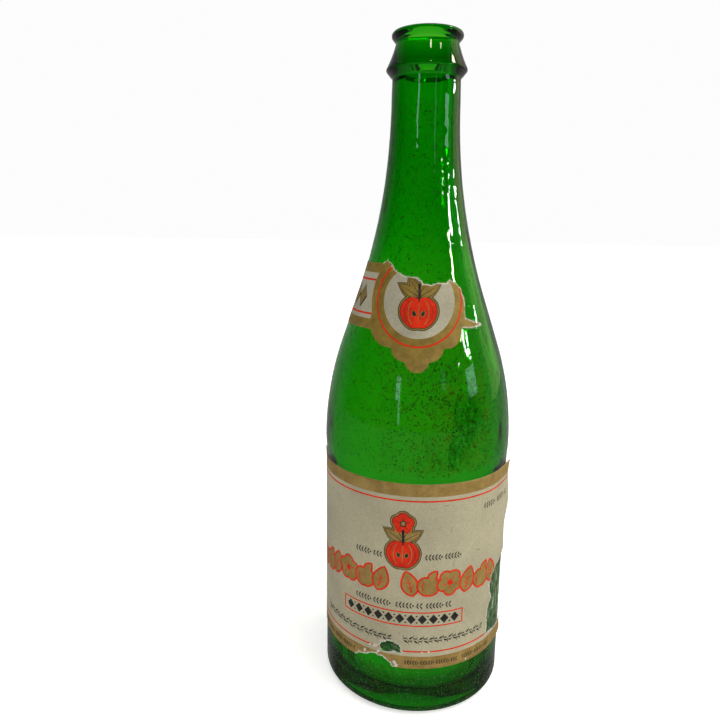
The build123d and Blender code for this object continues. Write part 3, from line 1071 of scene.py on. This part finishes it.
# ---------------------------------------------------------------- build: labels
paper = mottled("label_paper", (150, 144, 119), (165, 158, 131), 0.85, 0.0, 1300.0, 28.0)
white_paper = mottled("label_white", (148, 143, 122), (163, 158, 137), 0.85, 0.0, 1300.0, 60.0)
gold = mottled("gold_print", (135, 108, 46), (157, 128, 63), 0.55, 0.15, 1500.0, 260.0)
neck_gold = mottled("neck_gold_print", (120, 98, 27), (144, 118, 42), 0.55, 0.15, 1500.0, 260.0)
red = mottled("red_print", (180, 30, 4), (204, 42, 8), 0.75, 0.0, 1400.0, 200.0)
red.node_tree.nodes["Principled BSDF"].inputs["Specular IOR Level"].default_value = 0.15
ink = mottled("dark_ink", (24, 22, 18), (46, 42, 35), 0.8, 0.0, 1600.0, 300.0)
stain = mottled("stain", (92, 84, 66), (120, 110, 88), 0.9, 0.0, 1800.0, 400.0)
core = mottled("torn_core", (174, 170, 156), (198, 194, 182), 0.95, 0.0, 1200.0, 500.0, None, 0.4)
LABEL_MATERIALS = [paper, gold, red, white_paper, ink, stain, core]

outline, tear_edge, notch_edge, right_edge = body_outline()
hole_edge = ragged(HOLE_LOOP, 0.35, 0.5, 15)
body_label = printed_sheet(
    "body_label_paper", outline, [hole_edge[:-1]], body_prints(), body_wrap, LABEL_MATERIALS, 1.5,
    torn=[tear_edge, notch_edge, hole_edge, right_edge], core=6, core_width=0.7, back=3,
)
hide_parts("body_label")
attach(body_label, "root")

neck_line, neck_torn, neck_end = neck_outline()
neck_label = printed_sheet(
    "neck_label_paper", neck_line, [], neck_prints(), neck_wrap,
    [neck_gold, neck_gold, red, white_paper, ink, stain, core], 1.3,
    torn=[neck_torn, neck_end], core=6, core_width=0.45, back=3, seed=4,
)
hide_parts("neck_label")
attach(neck_label, "root")

glue = mottled("dried_glue", (52, 82, 54), (92, 116, 84), 0.55, 0.0, 900.0, 220.0, None, 0.3)
body_glue = printed_sheet(
    "body_label_glue_film", [(-HALF + 1, LABEL_TOP - 1), (-HALF + 1, LABEL_BOTTOM + 1.0), (-23.5, LABEL_BOTTOM + 1.0)]
    + ragged([(-23.5, 25.5), (-17.6, 27.4), (-11.0, 29.6), (-6.6, 29.2), (-2.4, 25.0)], 0.3, 0.9, 31)
    + [(-2.4, LABEL_BOTTOM + 0.8), (HALF - 1.6, LABEL_BOTTOM + 0.8)]
    + ragged([(HALF - 1.6, 30.0), (HALF - 2.4, 45.0), (HALF - 1.4, 58.0), (HALF - 2.0, LABEL_TOP - 1)], 0.5, 1.0, 32),
    [ragged(HOLE_LOOP, 0.3, 0.8, 33)[:-1]],
    [], glue_wrap, [glue], 3.0, thickness=0.035,
)
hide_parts("body_label_glue")
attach(body_glue, "root")


neck_glue = printed_sheet(
    "neck_label_glue_film", grown(neck_line, -0.5), [], [], neck_glue_wrap, [glue], 3.0, thickness=0.03, seed=5,
)
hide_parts("neck_label_glue")
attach(neck_glue, "root")

# what is left of the paper's back layer in the right-hand tear
residue_dark = mottled("residue_dark", (26, 64, 22), (70, 104, 58), 0.8, 0.0, 700.0, 380.0, (1, 1, 0.35), 0.5)
residue_pale = mottled("residue_pale", (88, 116, 76), (142, 156, 128), 0.9, 0.0, 700.0, 380.0, (1, 1, 0.35), 0.5)
residue_loop = ragged([
    (HALF - 2.0, 62.8), (57.0, 62.4), (51.0, 60.6), (47.4, 58.2), (45.8, 55.4), (46.4, 51.6), (48.4, 48.6),
    (45.8, 44.0), (44.8, 40.0), (45.2, 36.0), (44.6, 33.4), (51.0, 32.4), (HALF - 2.0, 32.0), (HALF - 3.0, 45.0),
    (HALF - 2.0, 62.8),
], 0.6, 0.5, 41)[:-1]
residue_prints = []
patch_rng = random.Random(51)
for _ in range(46):
    px, py = patch_rng.uniform(44, 62), patch_rng.uniform(32, 62)
    patch = turned(circle(0, 0, patch_rng.uniform(0.5, 1.7), 9), 0, px, py)
    patch = [(px + (a - px) * 0.45, b + (b - py) * 0.8) for a, b in patch]
    residue_prints.append(([ragged(patch + [patch[0]], 0.3, 0.4, patch_rng.randrange(999))[:-1]], 1))
residue = printed_sheet(
    "label_residue_layer", residue_loop, [], residue_prints,
    lambda x, z, h: glue_wrap(x, z, 0.045 + h + 0.03 * noise.noise(Vector((x, z * 0.5, 1.0))) + 0.03),
    [residue_dark, residue_pale], 0.8, thickness=0.05, seed=6,
)
stained = mottled("stained_glue", (6, 46, 6), (30, 84, 22), 0.8, 0.0, 700.0, 380.0, (1, 1, 0.35), 0.4)
hole_film = printed_sheet(
    "hole_residue", ragged([(x * 0.96 - 0.15, 33.4 + (z - 33.4) * 0.9) for x, z in HOLE_LOOP], 0.5, 0.4, 43)[:-1],
    [ragged([(-6.2, 33.2), (-5.0, 34.2), (-4.2, 33.3), (-5.4, 32.6), (-6.2, 33.2)], 0.3, 0.4, 44)[:-1]],
    [([ragged([(-3.4, 33.0), (-2.2, 34.8), (-0.8, 33.6), (-2.0, 32.6), (-3.4, 33.0)], 0.4, 0.4, 45)[:-1]], 1)],
    lambda x, z, h: glue_wrap(x, z, h + 0.01), [stained, residue_dark], 0.8, thickness=0.03, seed=7,
)
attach(hole_film, "root")
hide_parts("label_residue")
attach(residue, "root")

# ---------------------------------------------------------------- build: fibres and dirt
roots = torn_roots(tear_edge, -1, 240, 1.6, 61)
roots += torn_roots(notch_edge, 1, 110, 1.4, 62)
roots += torn_roots(hole_edge, 1, 120, 1.2, 63)
roots += torn_roots(right_edge, -1, 60, 0.7, 64)
hole_rng = random.Random(68)
for _ in range(11):
    roots.append((hole_rng.uniform(-8.4, -0.6), hole_rng.uniform(31.2, 35.6), hole_rng.gauss(0, 16),
                  hole_rng.uniform(0.8, 2.4), hole_rng.uniform(0.07, 0.15)))
body_fibres = strands("body_label_fibres", roots, core, lambda x, z, h: body_wrap(x, z, h + 0.02))
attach(body_fibres, "root")
neck_roots = torn_roots(neck_torn, 1, 150, 0.8, 65) + torn_roots(neck_end, 1, 50, 1.0, 66)
neck_fibres = strands("neck_label_fibres", neck_roots, core, lambda x, z, h: neck_wrap(x, z, h + 0.02))
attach(neck_fibres, "root")
rng = random.Random(67)
residue_roots = []
for _ in range(420):
    x, z = rng.uniform(44.5, 62), rng.uniform(32.5, 62.5)
    if within(residue_loop, np.array([[x, z]]))[0]:
        residue_roots.append((x, z, rng.gauss(90, 35), rng.uniform(0.8, 3.4), rng.uniform(0.05, 0.13)))
residue_fibres = strands("residue_fibres", residue_roots, residue_pale, lambda x, z, h: glue_wrap(x, z, 0.11 + h * 0.5))
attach(residue_fibres, "root")

dirt = mottled("dark_dirt", (5, 12, 3), (16, 26, 8), 0.9, 0.0, 900.0, 300.0, None, 0.0)
dust = mottled("pale_dust", (76, 98, 58), (116, 130, 96), 0.95, 0.0, 900.0, 300.0, None, 0.0)


def on_wall(azimuth, z, inner):
    """Radius of the uneven wall at a spot, and the side that specks stand on."""
    if inner:
        r = float(inner_radius(z))
        return r + inner_unevenness(azimuth, z, r) - 0.02, -1
    return float(outer_radius(z)) + outer_unevenness(azimuth, z) + 0.01, 1


def scatter(count, seed, heights, sizes, inner, cluster=None, azimuths=(-180, 180)):
    """Places for specks on the inner or outer wall, thicker in some spots than in others."""
    rng = random.Random(seed)
    places = []
    while len(places) < count:
        if cluster:
            a = rng.gauss(cluster[0], cluster[1])
            z = rng.gauss(cluster[2], cluster[3])
        else:
            a, z = rng.uniform(*azimuths), rng.uniform(*heights)
        if not heights[0] <= z <= heights[1]:
            continue
        if rng.random() > outer_radius(z) / CONTACT_RADIUS and not cluster:
            continue
        thick = 0.5 + 0.5 * ripple(a, z, 18, 22, 31.0)
        if rng.random() > 0.30 + 1.1 * thick:
            continue
        size = sizes[0] + (sizes[1] - sizes[0]) * rng.random() ** 2.2
        radius, side = on_wall(a, z, inner)
        places.append((a, radius, z, size, side))
    return places


specks = scatter(4200, 71, (112, 262), (0.22, 0.62), False)
specks += scatter(3000, 70, (150, 262), (0.22, 0.50), False, None, (-75, 60))
specks += scatter(800, 72, (112, 168), (0.22, 0.8), False, (30, 24, 138, 17))
specks += scatter(2600, 69, (112, 175), (0.24, 0.60), False, (8, 30, 140, 22))
dark_specks = flakes("dirt_specks", specks, dirt)
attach(dark_specks, "root")
inner_specks = scatter(3000, 74, (112, 262), (0.22, 0.75), True)
inner_specks += scatter(900, 75, (112, 170), (0.25, 0.9), True, (30, 20, 136, 15))
inside_specks = flakes("dirt_specks_inside", inner_specks, dirt)
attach(inside_specks, "root")
pale = scatter(5200, 73, (3.0, 23.7), (0.12, 0.40), False)
pale_specks = flakes("dust_specks", pale, dust)
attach(pale_specks, "root")


def film(name, low, high, rows, cover, dark, light, deep):
    """A thin skin of dried dirt on the outside of the glass. cover(azimuth, z) is how much of the glass it hides."""
    columns = 180
    verts, faces, shade = [], [], []
    for k in range(rows + 1):
        z = low + (high - low) * k / rows
        for i in range(columns):
            azimuth = 360.0 * i / columns - 180
            if z > HEEL_ROUND:
                radius = float(outer_radius(z))
            else:
                radius = PANEL_RADIUS - HEEL_ROUND + math.sqrt(max(0.0, HEEL_ROUND ** 2 - (HEEL_ROUND - z) ** 2))
            verts.append(around(azimuth, radius + outer_unevenness(azimuth, z) + 0.045, z))
            shade.append(cover(azimuth, z))
    for k in range(rows):
        for i in range(columns):
            j = (i + 1) % columns
            faces.append((k * columns + i, k * columns + j, (k + 1) * columns + j, (k + 1) * columns + i))
    n = Nodes(name)
    base = n.ramp(n.noise(120.0, 6.0, 0.7), [(0.38, linear(*dark)), (0.66, linear(*light))])
    n.set(Roughness=0.9, Specular_IOR_Level=0.0)
    patchy = n.ramp(n.noise(420.0, 8.0, 0.75, (1, 1, 0.6)), [(0.38, (0, 0, 0, 1)), (0.66, (1, 1, 1, 1))])
    mask = n.add("ShaderNodeAttribute", attribute_name="cover")
    times = n.add("ShaderNodeMath", operation="MULTIPLY")
    n.link(patchy, times.inputs[0])
    n.link(mask.outputs["Fac"], times.inputs[1])
    n.link(times.outputs["Value"], n.shader.inputs["Alpha"])
    thick = n.ramp(mask.outputs["Fac"], [(0.30, (0, 0, 0, 1)), (0.62, (1, 1, 1, 1))])
    n.link(n.mix(thick, base, linear(*deep)), n.shader.inputs["Base Color"])
    obj = mesh_object(name, verts, faces, materials=[n.material])
    layer = obj.data.color_attributes.new("cover", "FLOAT_COLOR", "POINT")
    layer.data.foreach_set("color", [v for c in shade for v in (c, c, c, 1.0)])
    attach(obj, "root")


def shoulder_cover(azimuth, z):
    front = math.exp(-((azimuth - 22) / 52.0) ** 2)
    low = min(1.0, max(0.0, (z - 111) / 4.0))
    haze = 0.02 + 0.20 * front * math.exp(-((z - 135) / 42.0) ** 2)
    blot = math.exp(-((azimuth - 36) / 13.0) ** 2 - ((z - 137) / 11.0) ** 2)
    blot += 0.7 * math.exp(-((azimuth - 30) / 20.0) ** 2 - ((z - 120) / 8.0) ** 2)
    streaks = 0.65 + 0.7 * ripple(azimuth, z, 4.0, 18.0, 41.0)
    return low * min(0.95, haze * (0.8 + 0.5 * ripple(azimuth, z, 16, 16, 37.0)) + 0.95 * blot * streaks)


def heel_cover(azimuth, z):
    cloud = 0.55 + 0.75 * ripple(azimuth, z, 11, 9, 47.0)
    return min(0.85, max(0.0, 0.52 * cloud))


film("dirt_film", 111.5, 262.0, 130, shoulder_cover, (52, 42, 4), (98, 90, 14), (10, 13, 2))
film("dust_film", 0.5, 23.8, 30, heel_cover, (12, 34, 3), (52, 70, 26), (42, 58, 20))

# ---------------------------------------------------------------- stage
FLOOR_SIZE = 6.0
floor_mesh = bpy.data.meshes.new("floor")
floor_corners = [(x, y, 0) for x, y in box(-FLOOR_SIZE, -FLOOR_SIZE, FLOOR_SIZE, FLOOR_SIZE)]
floor_mesh.from_pydata(floor_corners, [], [(0, 1, 2, 3)])
floor = bpy.data.objects.new("floor", floor_mesh)
bpy.context.scene.collection.objects.link(floor)
floor_nodes = Nodes("floor_pale")
floor_nodes.set(Base_Color=(0.80, 0.80, 0.80, 1), Roughness=0.9, Emission_Color=(1, 1, 1, 1), Emission_Strength=0.565,
                Specular_IOR_Level=0.0)
floor_mesh.materials.append(floor_nodes.material)
floor.visible_glossy = False
floor.visible_transmission = False

WORLD_LIGHT = 0.52
BACKDROP = 0.98
THROUGH_LOW = 0.54
THROUGH_HIGH = 0.70


def build_world():
    """White studio. What the glass mirrors is a darker room, brighter behind the bottle and on the floor."""
    world = bpy.data.worlds.new("studio")
    bpy.context.scene.world = world
    world.use_nodes = True
    tree = world.node_tree
    coords = tree.nodes.new("ShaderNodeTexCoord")
    split = tree.nodes.new("ShaderNodeSeparateXYZ")
    path = tree.nodes.new("ShaderNodeLightPath")
    tree.links.new(coords.outputs["Generated"], split.inputs["Vector"])

    def spread(socket, low, high, at_low, at_high):
        node = tree.nodes.new("ShaderNodeMapRange")
        for key, value in (("From Min", low), ("From Max", high), ("To Min", at_low), ("To Max", at_high)):
            node.inputs[key].default_value = value
        tree.links.new(split.outputs[socket], node.inputs["Value"])
        return node.outputs["Result"]

    def light(strength):
        node = tree.nodes.new("ShaderNodeBackground")
        node.inputs["Color"].default_value = (1, 1, 1, 1)
        if isinstance(strength, float):
            node.inputs["Strength"].default_value = strength
        else:
            tree.links.new(strength, node.inputs["Strength"])
        return node.outputs["Background"]

    def choose(ray, other, chosen):
        node = tree.nodes.new("ShaderNodeMixShader")
        tree.links.new(path.outputs[ray], node.inputs["Fac"])
        tree.links.new(other, node.inputs[1])
        tree.links.new(chosen, node.inputs[2])
        return node.outputs["Shader"]

    mirrored = tree.nodes.new("ShaderNodeMath")
    mirrored.operation = "MAXIMUM"
    tree.links.new(spread("Y", -0.1, 0.9, 0.006, 0.34), mirrored.inputs[0])
    tree.links.new(spread("Z", -0.13, -0.10, 0.13, 0.0), mirrored.inputs[1])
    shader = choose("Is Glossy Ray", light(WORLD_LIGHT), light(mirrored.outputs["Value"]))
    through = tree.nodes.new("ShaderNodeMath")
    through.operation = "MULTIPLY"
    tree.links.new(spread("Z", -0.06, 0.10, THROUGH_LOW, THROUGH_HIGH), through.inputs[0])
    tree.links.new(spread("Z", -0.68, -0.46, 0.38, 1.0), through.inputs[1])
    shader = choose("Is Transmission Ray", shader, light(through.outputs["Value"]))
    shader = choose("Is Camera Ray", shader, light(BACKDROP))
    tree.links.new(shader, tree.nodes["World Output"].inputs["Surface"])


build_world()
CAMERA_AZIMUTH = 6.0


def strip(name, azimuth, width, low, high, radiance, colour=(1, 1, 1), distance=1.2, target=(0, 0, 0.17)):
    """Window-like light that faces the bottle. Angles in degrees as seen from the bottle, azimuth from the camera."""
    data = bpy.data.lights.new(name, "AREA")
    data.shape = "RECTANGLE"
    data.size = 2 * distance * math.tan(math.radians(width / 2))
    data.size_y = 2 * distance * math.tan(math.radians((high - low) / 2))
    data.energy = radiance * 4 * data.size * data.size_y
    data.color = colour
    lamp = bpy.data.objects.new(name, data)
    a, e = math.radians(azimuth + CAMERA_AZIMUTH), math.radians((low + high) / 2)
    out = Vector((math.sin(a) * math.cos(e), -math.cos(a) * math.cos(e), math.sin(e)))
    lamp.location = Vector(target) + out * distance
    lamp.rotation_mode = "QUATERNION"
    lamp.rotation_quaternion = out.to_track_quat("Z", "Y")
    bpy.context.scene.collection.objects.link(lamp)
    return lamp


FAR = 5.0
FAR_LIGHTS = [
    ("window_neck_right", 105.3, 7.0, 12.5, 13.4, 26),
    ("window_neck_left", 77.0, 7.0, 15.8, 18.3, 27),
    ("window_shoulder", 70.5, 5.0, 20.0, 23.0, 27, (1.0, 0.93, 0.68)),
    ("window_joint", 73.0, 3.0, 18.2, 20.0, 22),
    ("window_glint", 79.0, 4.0, 14.2, 14.8, 18),
    ("window_glint_low", 58.0, 4.0, 16.0, 17.0, 16),
    ("window_right_low", 74, 15.0, 2, 13, 2.2, (0.66, 0.92, 1.0)),
    ("window_left", -24.5, 6.0, 5, 15, 2.4, (0.62, 0.92, 1.0)),
    ("window_left_low", -22.5, 3.0, -5, 5, 1.3, (0.62, 0.92, 1.0)),
    ("window_far", 33, 4.0, 9, 17, 0.7, (0.5, 0.85, 1.0)),
    ("lamp_front", 14, 3.5, 46, 54, 16, (1.0, 0.86, 0.66)),
    ("lamp_middle", 56, 3.0, 46, 50, 9, (1.0, 0.88, 0.70)),
    ("lamp_right", 104, 6.0, 42, 54, 13, (1.0, 0.88, 0.70)),
    ("panel_right", 122, 34, -5, 40, 0.36, (0.95, 1.0, 0.38)),
]
for light in FAR_LIGHTS:
    strip(*light, distance=FAR)
overhead = strip("overhead", 60, 40, 35, 85, 2.1, (1.0, 0.94, 0.87), distance=1.6)
overhead.visible_glossy = False

# ---------------------------------------------------------------- camera
CAMERA_DISTANCE = 0.2969
CAMERA_HEIGHT = 0.2152
CAMERA_YAW = -5.137
CAMERA_PITCH = -12.09
CAMERA_ROLL = 0.564
camera_data = bpy.data.cameras.new("camera")
camera_data.sensor_width = 36.0
camera_data.lens = 33.24
camera_data.clip_start = 0.01
camera_data.clip_end = 60.0
camera = bpy.data.objects.new("camera", camera_data)
bpy.context.scene.collection.objects.link(camera)
a = math.radians(CAMERA_AZIMUTH)
camera.location = (CAMERA_DISTANCE * math.sin(a), -CAMERA_DISTANCE * math.cos(a), CAMERA_HEIGHT)
yaw, pitch, roll = (math.radians(v) for v in (CAMERA_YAW, CAMERA_PITCH, CAMERA_ROLL))
forward = Vector((math.sin(yaw) * math.cos(pitch), math.cos(yaw) * math.cos(pitch), math.sin(pitch)))
right = Vector((math.cos(yaw), -math.sin(yaw), 0))
up = right.cross(forward)
right_rolled = right * math.cos(roll) + up * math.sin(roll)
up_rolled = up * math.cos(roll) - right * math.sin(roll)
spin = Matrix.Rotation(a, 3, "Z")
axes = Matrix([spin @ right_rolled, spin @ up_rolled, spin @ -forward]).transposed()
camera.rotation_mode = "QUATERNION"
camera.rotation_quaternion = axes.to_quaternion()
bpy.context.scene.camera = camera
bpy.context.scene.view_settings.view_transform = "Standard"
cycles = bpy.context.scene.cycles
cycles.max_bounces = 24
cycles.glossy_bounces = 16
cycles.transmission_bounces = 24
cycles.transparent_max_bounces = 24
